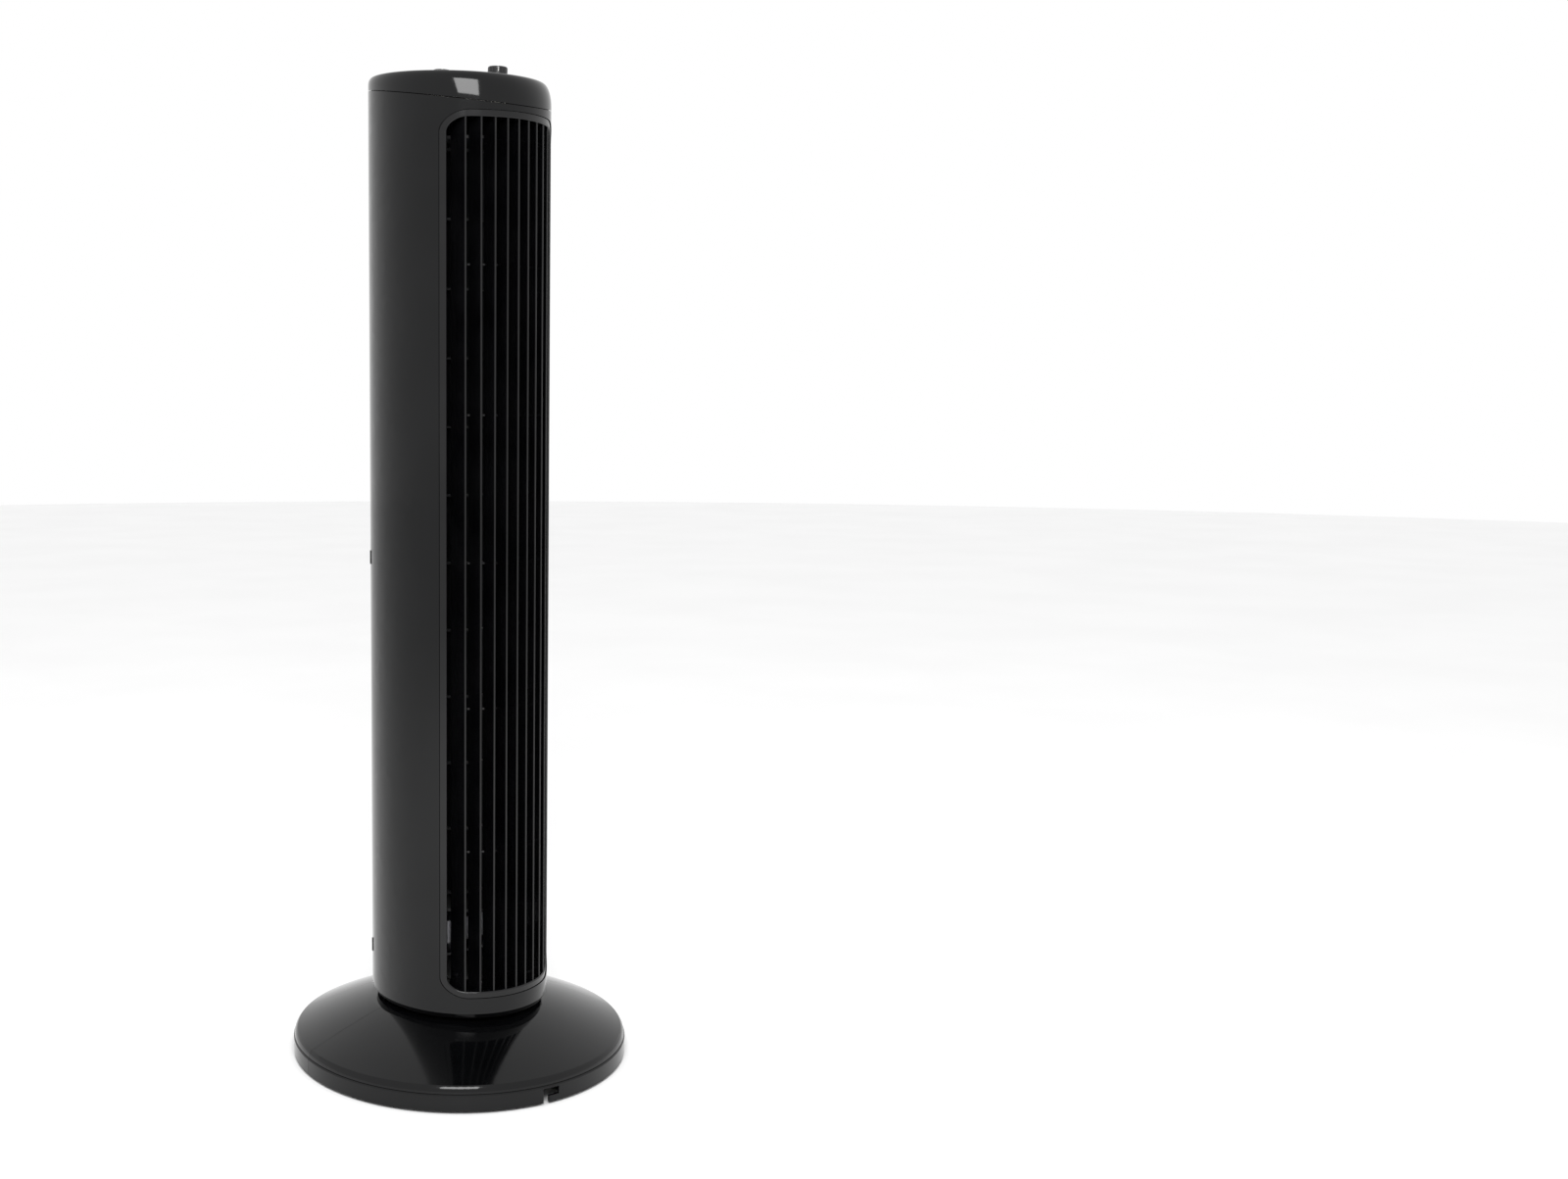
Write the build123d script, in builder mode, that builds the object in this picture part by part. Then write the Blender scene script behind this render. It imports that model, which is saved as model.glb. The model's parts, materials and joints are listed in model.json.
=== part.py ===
from build123d import *
import os
from math import cos, radians, sin, sqrt

# Oscillating tower fan. Millimetres. Origin at the centre of the floor contact, +Z up,
# the outlet grille faces -Y. The base is drawn facing -Y too and is then turned by
# REST_SWING about Z, because the column rests a little to one side of the base's centre.

os.makedirs("parts", exist_ok=True)

# ---------------------------------------------------------------- driving dimensions
BASE_RADIUS = 150.0
BASE_BOTTOM = 2.0  # the rubber feet hold the rim this far off the floor
RIM_TOP = 16.0
BASE_WALL = 2.5
NECK_RADIUS = 57.0
REST_SWING = -8.0  # base direction as seen from the column, degrees

TOWER_X = 75.7  # semi-axes of the oval column
TOWER_Y = 84.4
TOWER_BOTTOM = 54.5
WALL = 2.5
SEAM_Z = 841.0  # cap joint, on the column's axis
SEAM_TILT = 10.5
SEAM_GAP = 0.6
CAP_TOP = 860.2  # top of the cap, on the column's axis
CAP_TILT = 4.5
CROWN_RADIUS = 865.0

GRILLE_WIDTH = 120.0
GRILLE_BOTTOM = 72.6
GRILLE_TOP = 820.2
GRILLE_CORNER = 18.0
FRAME_WIDTH = 5.4
FRAME_ROUND = 1.2
BLADE_PITCH = 10.85
BLADE_COUNT = 9
BLADE_THICKNESS = 1.8
BLADE_DEPTH = 15.0

REAR_HALF_WIDTH = 62.0  # half width of the removable rear cover
COVER_SCREW_Z = (96.0, 447.0)

DRUM_Y = 8.0  # axis of the cross-flow drum
DRUM_RADIUS = 44.0
DRUM_BOTTOM = 152.0
DRUM_STAGE = 58.5
DRUM_STAGES = 11
DRUM_BLADES = 30

SHAFT_RADIUS = 3.0
RUNNING_GAP = 0.05
PILOT_RADIUS = 1.3  # holes that the self-tapping screws bite into
SMALL_PILOT = 1.1
SCREW_HOLE = 1.6
THROUGH_ALL = 900.0  # cuts and trims that pass right through the column

FRONT_KNOB_Y = -53.0
REAR_KNOB_Y = 25.5
BUTTON_Y = -14.0
KNOB_RADIUS = 8.4
KNOB_LIFT = 0.8  # gap between a knob and the cap
SPEED_KNOB_HEIGHT = 6.2
TIMER_KNOB_HEIGHT = 8.7

CRANK_OFFSET = 32.0  # swing axis to crank axis
CRANK_THROW = 20.5  # swings the column 40 degrees each side of the base's centre
CRANK_RATIO = -2.8

seam_plane = Plane(
    origin=(0, 0, SEAM_Z),
    x_dir=(1, 0, 0),
    z_dir=(0, -sin(radians(SEAM_TILT)), cos(radians(SEAM_TILT))),
)
cap_axis = Vector(0, -sin(radians(CAP_TILT)), cos(radians(CAP_TILT)))
crown_centre = Vector(0, 0, CAP_TOP) - cap_axis * CROWN_RADIUS


def finish(piece, name):
    """Labels a finished piece and writes it to parts/."""
    piece.label = name
    export_step(piece, f"parts/{name}.step")
    print(name, len(piece.solids()), round(piece.volume))


def control_plane(y):
    """Plane on the cap's crown at (0, y), facing along the controls' axis."""
    height = crown_centre.Z + sqrt(CROWN_RADIUS**2 - (y - crown_centre.Y) ** 2)
    return Plane(origin=(0, y, height), x_dir=(1, 0, 0), z_dir=cap_axis)


def screw(head_radius, head_height, shank_radius, shank_length):
    """Cross-head screw: head top at z 0 facing +Z, shank below it."""
    with BuildPart() as body:
        with BuildSketch():
            Circle(head_radius)
        extrude(amount=-head_height)
        fillet(body.edges().group_by(Axis.Z)[-1], head_height * 0.4)
        with BuildSketch(Plane.XY.offset(-head_height)):
            Circle(shank_radius)
        extrude(amount=-shank_length)
        with BuildSketch():
            Rectangle(head_radius * 1.1, head_radius * 0.28)
            Rectangle(head_radius * 0.28, head_radius * 1.1)
        extrude(amount=-head_height * 0.5, mode=Mode.SUBTRACT)
    return body.part


def turned(piece, angle):
    """The piece turned about the swing axis."""
    return piece.rotate(Axis.Z, angle)


# ---------------------------------------------------------------- base
FLANGE_Z = 9.0
FLANGE_HEIGHT = 3.0
BOSS_RING = 65.5  # radius of the pedestal screw circle
BOSS_COUNT = 6
BOSS_START = 30
BOSS_RADIUS = 4.5
BASE_SCREW_DEPTH = 18.0
FOOT_RING = 134.0
FOOT_RADIUS = 8.0
FOOT_COUNT = 8
FOOT_START = 22.5  # keeps the feet off the joint and off the cord notch
FOOT_HEIGHT = 4.0
FOOT_BOSS_TOP = 24.3
HALF_GAP = 0.15
HALF_NECK_GAP = 0.3
NECK_TOP = 51.9  # the shell's inner edge, round the pedestal
NECK_LIP = 38.0
SHOULDER = (146.2, 23.0)  # radius and height where the rim rounds into the dome
DOME_TOP = (80.0, 49.1)  # radius and height where the dome flattens to the neck
DOME_INNER = (79.2, 46.5)
PEDESTAL_BOSS_TOP = 49.2
RIB_INNER = 80.0
RIB_OUTER = 136.0
RIB_BOTTOM = 12.0
RIB_HALF_THICKNESS = 1.0
NOTCH_ENTRY = (5.6, 13.0)  # width and height
NOTCH_POCKET = (15.0, 6.6)
NOTCH_POCKET_CENTRE = (5.0, 10.7)
NOTCH_DEPTH = 12.0

# one radial rib, standing under the shell's slope
with BuildPart() as base_rib:
    with BuildSketch(Plane.XZ):
        with BuildLine():
            Polyline(
                (RIB_INNER, RIB_BOTTOM),
                (RIB_OUTER, RIB_BOTTOM),
                (RIB_OUTER, 25.6),
                (RIB_INNER, 47.6),
                close=True,
            )
        make_face()
    extrude(amount=RIB_HALF_THICKNESS, both=True)

with BuildPart() as base_shell:
    with BuildSketch(Plane.XZ):
        with BuildLine():
            Polyline(
                (BASE_RADIUS - BASE_WALL, BASE_BOTTOM),
                (BASE_RADIUS, BASE_BOTTOM),
                (BASE_RADIUS, RIM_TOP - 1.0),
                (BASE_RADIUS - 1.0, RIM_TOP),
                (BASE_RADIUS - 1.6, RIM_TOP),
                (BASE_RADIUS - 1.6, RIM_TOP + 0.9),
                (BASE_RADIUS - 0.9, RIM_TOP + 0.9),
                (BASE_RADIUS - 1.1, RIM_TOP + 2.2),
            )
            ThreePointArc((BASE_RADIUS - 1.1, RIM_TOP + 2.2), (BASE_RADIUS - 2.1, 21.2), SHOULDER)
            ThreePointArc(SHOULDER, (112.0, 37.6), DOME_TOP)
            ThreePointArc(DOME_TOP, (69.5, 51.2), (NECK_RADIUS + HALF_NECK_GAP, NECK_TOP))
            Polyline(
                (NECK_RADIUS + HALF_NECK_GAP, NECK_TOP),
                (NECK_RADIUS + HALF_NECK_GAP, NECK_LIP),
                (NECK_RADIUS + HALF_NECK_GAP + BASE_WALL, NECK_LIP),
                (NECK_RADIUS + HALF_NECK_GAP + BASE_WALL, NECK_TOP - 2.6),
            )
            ThreePointArc(
                (NECK_RADIUS + HALF_NECK_GAP + BASE_WALL, NECK_TOP - 2.6), (69.0, 48.5), DOME_INNER
            )
            ThreePointArc(DOME_INNER, (111.0, 35.2), (BASE_RADIUS - 6.5, 21.6))
            Polyline(
                (BASE_RADIUS - 6.5, 21.6),
                (BASE_RADIUS - 4.4, 19.0),
                (BASE_RADIUS - 3.9, RIM_TOP - 0.5),
                (BASE_RADIUS - BASE_WALL, RIM_TOP - 3.0),
                (BASE_RADIUS - BASE_WALL, BASE_BOTTOM),
            )
        make_face()
    revolve(axis=Axis.Z)
    # bosses for the feet and for the pedestal screws, and radial stiffening ribs
    with BuildSketch(Plane.XY.offset(FOOT_HEIGHT)):
        with PolarLocations(FOOT_RING, FOOT_COUNT, start_angle=FOOT_START):
            Circle(FOOT_RADIUS)
    extrude(amount=FOOT_BOSS_TOP - FOOT_HEIGHT)
    with BuildSketch(Plane.XY.offset(FLANGE_Z + FLANGE_HEIGHT)):
        with PolarLocations(BOSS_RING, BOSS_COUNT, start_angle=BOSS_START):
            Circle(BOSS_RADIUS)
    extrude(amount=PEDESTAL_BOSS_TOP - FLANGE_Z - FLANGE_HEIGHT)
    with PolarLocations(0, FOOT_COUNT, start_angle=FOOT_START):
        add(base_rib.part)
    with BuildSketch(Plane.XY.offset(FLANGE_Z)):
        with PolarLocations(BOSS_RING, BOSS_COUNT, start_angle=BOSS_START):
            Circle(SCREW_HOLE)
    extrude(amount=BASE_SCREW_DEPTH, mode=Mode.SUBTRACT)

# L-shaped cord notch in the front rim: an entry slot and a pocket beside it
with BuildPart() as cord_notch:
    with BuildSketch(Plane.XZ.offset(BASE_RADIUS - 8.0)):
        with Locations((0, BASE_BOTTOM - 1.0 + NOTCH_ENTRY[1] / 2)):
            Rectangle(*NOTCH_ENTRY)
        with Locations(NOTCH_POCKET_CENTRE):
            Rectangle(*NOTCH_POCKET)
    extrude(amount=NOTCH_DEPTH)

for name, side in (("base_front_half", -1), ("base_rear_half", 1)):
    with BuildPart() as base_half:
        add(base_shell.part)
        with BuildSketch(Plane.XY):
            with Locations((0, side * (BASE_RADIUS + HALF_GAP))):
                Rectangle(2.2 * BASE_RADIUS, 2 * BASE_RADIUS)
        extrude(amount=70.0, mode=Mode.INTERSECT)
        if side < 0:
            add(cord_notch.part, mode=Mode.SUBTRACT)
    finish(turned(base_half.part, REST_SWING), name)

with BuildPart() as rubber_feet:
    with BuildSketch():
        with PolarLocations(FOOT_RING, FOOT_COUNT, start_angle=FOOT_START):
            Circle(FOOT_RADIUS - 0.5)
    extrude(amount=FOOT_HEIGHT)
    chamfer(rubber_feet.edges().group_by(Axis.Z)[0], 0.8)
finish(turned(rubber_feet.part, REST_SWING), "rubber_feet")

# Pedestal: flange under the two halves, neck wall, slotted top disc and hollow hub
PEDESTAL_TOP = 49.8
HUB_RADIUS = 22.0
HUB_BORE = 16.0
HUB_TOP = 58.2
SLOT_WIDTH = 8.2
PIN_RADIUS = 2.5
WASHER_WIDTH = 2.3  # leaves room for the crank arm at full swing
TOP_DISC = 3.8  # thickness of the slotted disc
NECK_WALL = 2.5
FLANGE_REACH = 14.0
RING_SCREWS = 19.0  # radius of the retaining ring's screw circle
RING_SCREW_COUNT = 3
RING_RADIUS = 28.0
RING_THICKNESS = 2.0
RING_SCREW_HEAD = 1.5
slot_inner = 31.0 - PIN_RADIUS - 1.6
slot_outer = CRANK_OFFSET + CRANK_THROW + PIN_RADIUS + 0.6

with BuildPart() as base_pedestal:
    with BuildSketch(Plane.XZ):
        with BuildLine():
            Polyline(
                (NECK_RADIUS - NECK_WALL, FLANGE_Z),
                (NECK_RADIUS + FLANGE_REACH, FLANGE_Z),
                (NECK_RADIUS + FLANGE_REACH, FLANGE_Z + FLANGE_HEIGHT),
                (NECK_RADIUS, FLANGE_Z + FLANGE_HEIGHT),
                (NECK_RADIUS, PEDESTAL_TOP - 1.0),
                (NECK_RADIUS - 1.0, PEDESTAL_TOP),
                (HUB_RADIUS, PEDESTAL_TOP),
                (HUB_RADIUS, HUB_TOP),
                (HUB_BORE, HUB_TOP),
                (HUB_BORE, PEDESTAL_TOP - TOP_DISC),
                (NECK_RADIUS - NECK_WALL, PEDESTAL_TOP - TOP_DISC),
                close=True,
            )
        make_face()
    revolve(axis=Axis.Z)
    # radial slot that guides the crank pin
    with BuildSketch(Plane.XY.offset(PEDESTAL_TOP - TOP_DISC)):
        with Locations((0, -(slot_inner + slot_outer) / 2)):
            SlotOverall(slot_outer - slot_inner, SLOT_WIDTH, rotation=90)
    extrude(amount=TOP_DISC, mode=Mode.SUBTRACT)
    with BuildSketch(Plane.XY.offset(FLANGE_Z)):
        with PolarLocations(BOSS_RING, BOSS_COUNT, start_angle=BOSS_START):
            Circle(SCREW_HOLE)
    extrude(amount=FLANGE_HEIGHT, mode=Mode.SUBTRACT)
    with BuildSketch(Plane.XY.offset(HUB_TOP - 6.0)):
        with PolarLocations(RING_SCREWS, RING_SCREW_COUNT, start_angle=BOSS_START):
            Circle(PILOT_RADIUS)
    extrude(amount=6.0, mode=Mode.SUBTRACT)
finish(turned(base_pedestal.part, REST_SWING), "base_pedestal")

base_screw = screw(3.2, 2.0, 1.5, 14.0)
with BuildPart() as base_screws:
    with Locations(Location((0, 0, FLANGE_Z - 2.0), (180, 0, 0))):
        with PolarLocations(BOSS_RING, BOSS_COUNT, start_angle=BOSS_START):
            add(base_screw)
finish(turned(base_screws.part, REST_SWING), "base_screws")

with BuildPart() as thrust_washer:
    with BuildSketch(Plane.XY.offset(PEDESTAL_TOP)):
        Circle(HUB_RADIUS + WASHER_WIDTH)
        Circle(HUB_RADIUS + 0.1, mode=Mode.SUBTRACT)
    extrude(amount=TOWER_BOTTOM - PEDESTAL_TOP - 0.2)
finish(thrust_washer.part, "thrust_washer")

with BuildPart() as retaining_ring:
    with BuildSketch(Plane.XY.offset(HUB_TOP)):
        Circle(RING_RADIUS)
        Circle(HUB_BORE, mode=Mode.SUBTRACT)
        with PolarLocations(RING_SCREWS, RING_SCREW_COUNT, start_angle=BOSS_START):
            Circle(PILOT_RADIUS, mode=Mode.SUBTRACT)
    extrude(amount=RING_THICKNESS)
    chamfer(retaining_ring.edges().group_by(Axis.Z)[-1].sort_by(SortBy.LENGTH)[-1], 0.6)
finish(turned(retaining_ring.part, REST_SWING), "retaining_ring")

ring_screw = screw(2.4, RING_SCREW_HEAD, 1.25, 7.5)
with BuildPart() as retaining_screws:
    with Locations((0, 0, HUB_TOP + RING_THICKNESS + RING_SCREW_HEAD)):
        with PolarLocations(RING_SCREWS, RING_SCREW_COUNT, start_angle=BOSS_START):
            add(ring_screw)
finish(turned(retaining_screws.part, REST_SWING), "retaining_ring_screws")

# Grommet in the hub bore, where the mains lead enters the column
GLAND_BOTTOM = 42.0
GLAND_TOP = 52.0
GLAND_BORE = 3.8
with BuildPart() as cord_gland:
    with BuildSketch(Plane.XZ):
        with BuildLine():
            Polyline(
                (GLAND_BORE, GLAND_BOTTOM),
                (HUB_BORE + 3.0, GLAND_BOTTOM),
                (HUB_BORE + 3.0, PEDESTAL_TOP - TOP_DISC),
                (HUB_BORE, PEDESTAL_TOP - TOP_DISC),
                (HUB_BORE, GLAND_TOP),
                (6.5, GLAND_TOP),
                (GLAND_BORE, GLAND_TOP - 2.0),
                close=True,
            )
        make_face()
    revolve(axis=Axis.Z)
finish(cord_gland.part, "cord_gland")

# ---------------------------------------------------------------- column shells
FOOT_LIP = 4.0  # the skirt's wall is thicker for the plate below
FOOT_LIP_HEIGHT = 8.0
LUG_SET_BACK = 12.0
LUG_DEPTH = 7.0
LUG_SCREW_INSET = 3.4

with BuildPart() as column_tube:
    with BuildSketch(Plane.XY.offset(TOWER_BOTTOM)):
        Ellipse(TOWER_X, TOWER_Y)
    extrude(amount=CAP_TOP - TOWER_BOTTOM)
    chamfer(column_tube.edges().group_by(Axis.Z)[0], length=4.5, length2=3.0)
    split(bisect_by=seam_plane.offset(-SEAM_GAP / 2), keep=Keep.BOTTOM)
    with BuildSketch(Plane.XY.offset(TOWER_BOTTOM)):
        Ellipse(TOWER_X - FOOT_LIP, TOWER_Y - FOOT_LIP)
    extrude(amount=FOOT_LIP_HEIGHT, mode=Mode.SUBTRACT)
    with BuildSketch(Plane.XY.offset(TOWER_BOTTOM + FOOT_LIP_HEIGHT)):
        Ellipse(TOWER_X - WALL, TOWER_Y - WALL)
    extrude(amount=CAP_TOP - TOWER_BOTTOM, mode=Mode.SUBTRACT)

grille_mid = (GRILLE_TOP + GRILLE_BOTTOM) / 2
grille_height = GRILLE_TOP - GRILLE_BOTTOM
cover_edge_y = TOWER_Y * sqrt(1 - (REAR_HALF_WIDTH / TOWER_X) ** 2)
screw_x = REAR_HALF_WIDTH - LUG_SCREW_INSET

with BuildPart() as front_housing:
    add(column_tube.part)
    with BuildSketch(Plane.XY):
        with Locations((0, TOWER_Y)):
            Rectangle(2 * REAR_HALF_WIDTH, 2 * TOWER_Y)
    extrude(amount=THROUGH_ALL, mode=Mode.SUBTRACT)
    with BuildSketch(Plane.XZ.offset(20.0)):
        with Locations((0, grille_mid)):
            RectangleRounded(GRILLE_WIDTH, grille_height, GRILLE_CORNER)
    extrude(amount=80.0, mode=Mode.SUBTRACT)
    # screw lugs behind the rear edges
    with BuildSketch(Plane.XZ.offset(-(cover_edge_y - LUG_SET_BACK))):
        for lug_z in COVER_SCREW_Z:
            with Locations((-REAR_HALF_WIDTH + 0.5, lug_z), (REAR_HALF_WIDTH - 0.5, lug_z)):
                Rectangle(9.0, 12.0)
    extrude(amount=-LUG_DEPTH)
    with BuildSketch(Plane.XZ.offset(-(cover_edge_y - LUG_SET_BACK))):
        for lug_z in COVER_SCREW_Z:
            with Locations((-screw_x, lug_z), (screw_x, lug_z)):
                Circle(PILOT_RADIUS)
    extrude(amount=-LUG_DEPTH, mode=Mode.SUBTRACT)
finish(front_housing.part, "front_housing")

# Removable rear cover with rows of intake louvres and oval screw recesses
LOUVRE_ROWS = 60
LOUVRE_HEIGHT = 4.4
LOUVRE_FIRST_Z = 150.0
LOUVRE_PITCH = 11.0
LOUVRE_LENGTH = 28.0
LOUVRE_COLUMNS = 3
LOUVRE_SPACING = 33.0
COVER_CLEARANCE = 0.25
louvre_mid = LOUVRE_FIRST_Z + (LOUVRE_ROWS - 1) * LOUVRE_PITCH / 2

with BuildPart() as rear_cover:
    add(column_tube.part)
    with BuildSketch(Plane.XY):
        with Locations((0, TOWER_Y)):
            Rectangle(2 * (REAR_HALF_WIDTH - COVER_CLEARANCE), 2 * TOWER_Y - 4.0)
    extrude(amount=THROUGH_ALL, mode=Mode.INTERSECT)
    # pads behind the screws
    with BuildSketch(Plane.XZ.offset(-(cover_edge_y - 5.0))):
        with Locations(*[(s * (screw_x - 2.0), z) for s in (-1, 1) for z in COVER_SCREW_Z]):
            RectangleRounded(10.0, 14.0, 2.0)
    extrude(amount=-5.0)
    # oval recesses and screw holes
    with BuildSketch(Plane.XZ.offset(-(cover_edge_y - 3.0))):
        with Locations(*[(s * screw_x, z) for s in (-1, 1) for z in COVER_SCREW_Z]):
            Ellipse(2.9, 4.2)
    extrude(amount=-20.0, mode=Mode.SUBTRACT)
    with BuildSketch(Plane.XZ.offset(-(cover_edge_y - 6.0))):
        with Locations(*[(s * screw_x, z) for s in (-1, 1) for z in COVER_SCREW_Z]):
            Circle(1.5)
    extrude(amount=-4.0, mode=Mode.SUBTRACT)
    # louvres
    with BuildSketch(Plane.XZ.offset(-40.0)):
        with Locations((0, louvre_mid)):
            with GridLocations(LOUVRE_SPACING, LOUVRE_PITCH, LOUVRE_COLUMNS, LOUVRE_ROWS):
                SlotOverall(LOUVRE_LENGTH, LOUVRE_HEIGHT)
    extrude(amount=-60.0, mode=Mode.SUBTRACT)
finish(rear_cover.part, "rear_cover")

cover_screw = screw(2.4, 1.6, 1.2, 8.0)
with BuildPart() as rear_cover_screws:
    for cover_x in (-screw_x, screw_x):
        for cover_z in COVER_SCREW_Z:
            with Locations(Location((cover_x, cover_edge_y - 1.4, cover_z), (-90, 0, 0))):
                add(cover_screw)
finish(rear_cover_screws.part, "rear_cover_screws")

# Front grille: stepped frame and vertical blades, one moulding
FRAME_CLEARANCE = 0.35
FRAME_SET_BACK = 0.8
blade_z = grille_height - 2 * FRAME_CLEARANCE
frame_outer = GRILLE_WIDTH - 2 * FRAME_CLEARANCE
GRILLE_RIBS = 5
RIB_THICKNESS = 1.6
RIB_SET_BACK = 14.0
BLADE_SET_BACK = 1.2
BLADE_END = 1.5  # blades stop this far inside the frame's outer edge
BAND_DEPTH = 6.0

with BuildPart() as front_grille:
    # a band that follows the column's skin, trimmed to the opening
    with BuildSketch(Plane.XY.offset(GRILLE_BOTTOM - 5.0)):
        Ellipse(TOWER_X - FRAME_SET_BACK, TOWER_Y - FRAME_SET_BACK)
        Ellipse(TOWER_X - BAND_DEPTH, TOWER_Y - BAND_DEPTH, mode=Mode.SUBTRACT)
    extrude(amount=grille_height + 10.0)
    with BuildSketch(Plane.XZ.offset(20.0)):
        with Locations((0, grille_mid)):
            RectangleRounded(frame_outer, blade_z, GRILLE_CORNER - FRAME_CLEARANCE)
            RectangleRounded(
                frame_outer - 2 * FRAME_WIDTH,
                blade_z - 2 * FRAME_WIDTH,
                GRILLE_CORNER - FRAME_CLEARANCE - FRAME_WIDTH,
                mode=Mode.SUBTRACT,
            )
    extrude(amount=80.0, mode=Mode.INTERSECT)
    # the frame's front face has a rounded edge round the opening
    pierced = front_grille.faces().filter_by(lambda face: len(face.inner_wires()) == 1)
    fillet(pierced.sort_by(Axis.Y)[0].inner_wires()[0].edges(), FRAME_ROUND)


def oval_front(across, inset):
    """y of the column's oval, moved in by inset, at a distance across from its middle."""
    return -(TOWER_Y - inset) * sqrt(1 - (across / (TOWER_X - inset)) ** 2)


# vertical blades with round noses, and the ribs that tie them together behind
with BuildPart() as blade_pack:
    with BuildSketch(Plane.XY.offset(GRILLE_BOTTOM + FRAME_CLEARANCE + BLADE_END)):
        for blade in range(BLADE_COUNT):
            blade_x = (blade - (BLADE_COUNT - 1) / 2) * BLADE_PITCH
            nose_y = oval_front(blade_x, FRAME_SET_BACK + 0.9) + BLADE_THICKNESS / 2
            back_y = oval_front(blade_x, BLADE_SET_BACK + BLADE_DEPTH)
            with Locations((blade_x, nose_y)):
                Circle(BLADE_THICKNESS / 2)
            with Locations((blade_x, (nose_y + back_y) / 2)):
                Rectangle(BLADE_THICKNESS, back_y - nose_y)
    extrude(amount=blade_z - 2 * BLADE_END)
    for rib in range(GRILLE_RIBS):
        rib_z = GRILLE_BOTTOM + (rib + 1) * grille_height / (GRILLE_RIBS + 1)
        with BuildSketch(Plane.XY.offset(rib_z)):
            Ellipse(TOWER_X - RIB_SET_BACK, TOWER_Y - RIB_SET_BACK)
            with Locations((0, -TOWER_Y)):
                Rectangle(
                    BLADE_PITCH * (BLADE_COUNT - 1), 2 * TOWER_Y - 60.0, mode=Mode.INTERSECT
                )
            Ellipse(
                TOWER_X - BLADE_SET_BACK - BLADE_DEPTH,
                TOWER_Y - BLADE_SET_BACK - BLADE_DEPTH,
                mode=Mode.SUBTRACT,
            )
        extrude(amount=RIB_THICKNESS)

with BuildPart() as grille_moulding:
    add(front_grille.part)
    add(blade_pack.part)
finish(grille_moulding.part, "front_grille")

# ---------------------------------------------------------------- cap
def crowned_block(inset, crown_drop, bottom_plane):
    """Oval prism inside the column's outline, cut by the seam and by the crown."""
    with BuildPart() as block:
        with BuildSketch(Plane.XY.offset(SEAM_Z - 40.0)):
            Ellipse(TOWER_X - inset, TOWER_Y - inset)
        extrude(amount=80.0)
        split(bisect_by=bottom_plane, keep=Keep.TOP)
        with Locations(tuple(crown_centre)):
            Sphere(CROWN_RADIUS - crown_drop, mode=Mode.INTERSECT)
    return block.part


def oval_band(outer_inset, inner_inset, low, high):
    """Oval ring between two planes parallel to the seam."""
    with BuildPart() as band:
        with BuildSketch(Plane.XY.offset(SEAM_Z - 40.0)):
            Ellipse(TOWER_X - outer_inset, TOWER_Y - outer_inset)
            Ellipse(TOWER_X - inner_inset, TOWER_Y - inner_inset, mode=Mode.SUBTRACT)
        extrude(amount=80.0)
        split(bisect_by=seam_plane.offset(low), keep=Keep.TOP)
        split(bisect_by=seam_plane.offset(high), keep=Keep.BOTTOM)
    return band.part


CONTROL_DROP = 7.0  # switch bodies hang this far below the crown
CONTROL_SCREW_X = 9.0
CAP_SKIN = 1.5  # posts and legs merge into the crown this far below its surface
CAP_CUT = 3.0  # how far holes run past the crown
CONTROL_HOLE = 4.0
BUTTON_HOLE = 5.3
LEG_DROP = 25.0
with BuildPart() as cap_front_round:
    with BuildSketch(Plane.YZ.offset(-TOWER_X)):
        with BuildLine():
            Line((-TOWER_Y, SEAM_Z - 40.0), (-TOWER_Y, 837.0))
            ThreePointArc(
                (-TOWER_Y, 837.0), (-TOWER_Y + 3.4, 845.6), (-TOWER_Y + 12.5, 850.9)
            )
            Line((-TOWER_Y + 12.5, 850.9), (-TOWER_Y + 60.0, 900.0))
            Line((-TOWER_Y + 60.0, 900.0), (TOWER_Y, 900.0))
            Line((TOWER_Y, 900.0), (TOWER_Y, SEAM_Z - 40.0))
            Line((TOWER_Y, SEAM_Z - 40.0), (-TOWER_Y, SEAM_Z - 40.0))
        make_face()
    extrude(amount=2 * TOWER_X)

with BuildPart() as top_cap:
    add(crowned_block(0, 0, seam_plane.offset(SEAM_GAP / 2)))
    add(cap_front_round.part, mode=Mode.INTERSECT)
    add(crowned_block(WALL, WALL, seam_plane.offset(SEAM_GAP / 2 - 1)), mode=Mode.SUBTRACT)
    add(oval_band(WALL - 0.2, WALL + 1.8, SEAM_GAP / 2, 2.0))
    add(oval_band(WALL + 0.3, WALL + 1.8, -4.8, 1.0))
    for knob_y in (FRONT_KNOB_Y, REAR_KNOB_Y):
        with BuildSketch(control_plane(knob_y).offset(-CONTROL_DROP)):
            with Locations((-CONTROL_SCREW_X, 0), (CONTROL_SCREW_X, 0)):
                Circle(3.0)
        extrude(amount=CONTROL_DROP - CAP_SKIN)
        with BuildSketch(control_plane(knob_y).offset(-CONTROL_DROP)):
            Circle(CONTROL_HOLE)
        extrude(amount=CONTROL_DROP + CAP_CUT, mode=Mode.SUBTRACT)
        with BuildSketch(control_plane(knob_y).offset(-CONTROL_DROP)):
            with Locations((-CONTROL_SCREW_X, 0), (CONTROL_SCREW_X, 0)):
                Circle(SMALL_PILOT)
        extrude(amount=4.0, mode=Mode.SUBTRACT)
    # legs that clip the push switch
    with BuildSketch(control_plane(BUTTON_Y).offset(-LEG_DROP)):
        with Locations((-8, 0), (8, 0)):
            Rectangle(2.0, 8.0)
    extrude(amount=LEG_DROP - CAP_SKIN)
    with BuildSketch(control_plane(BUTTON_Y).offset(-CONTROL_DROP)):
        Circle(BUTTON_HOLE)
    extrude(amount=CONTROL_DROP + CAP_CUT, mode=Mode.SUBTRACT)
finish(top_cap.part, "top_cap")

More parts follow.
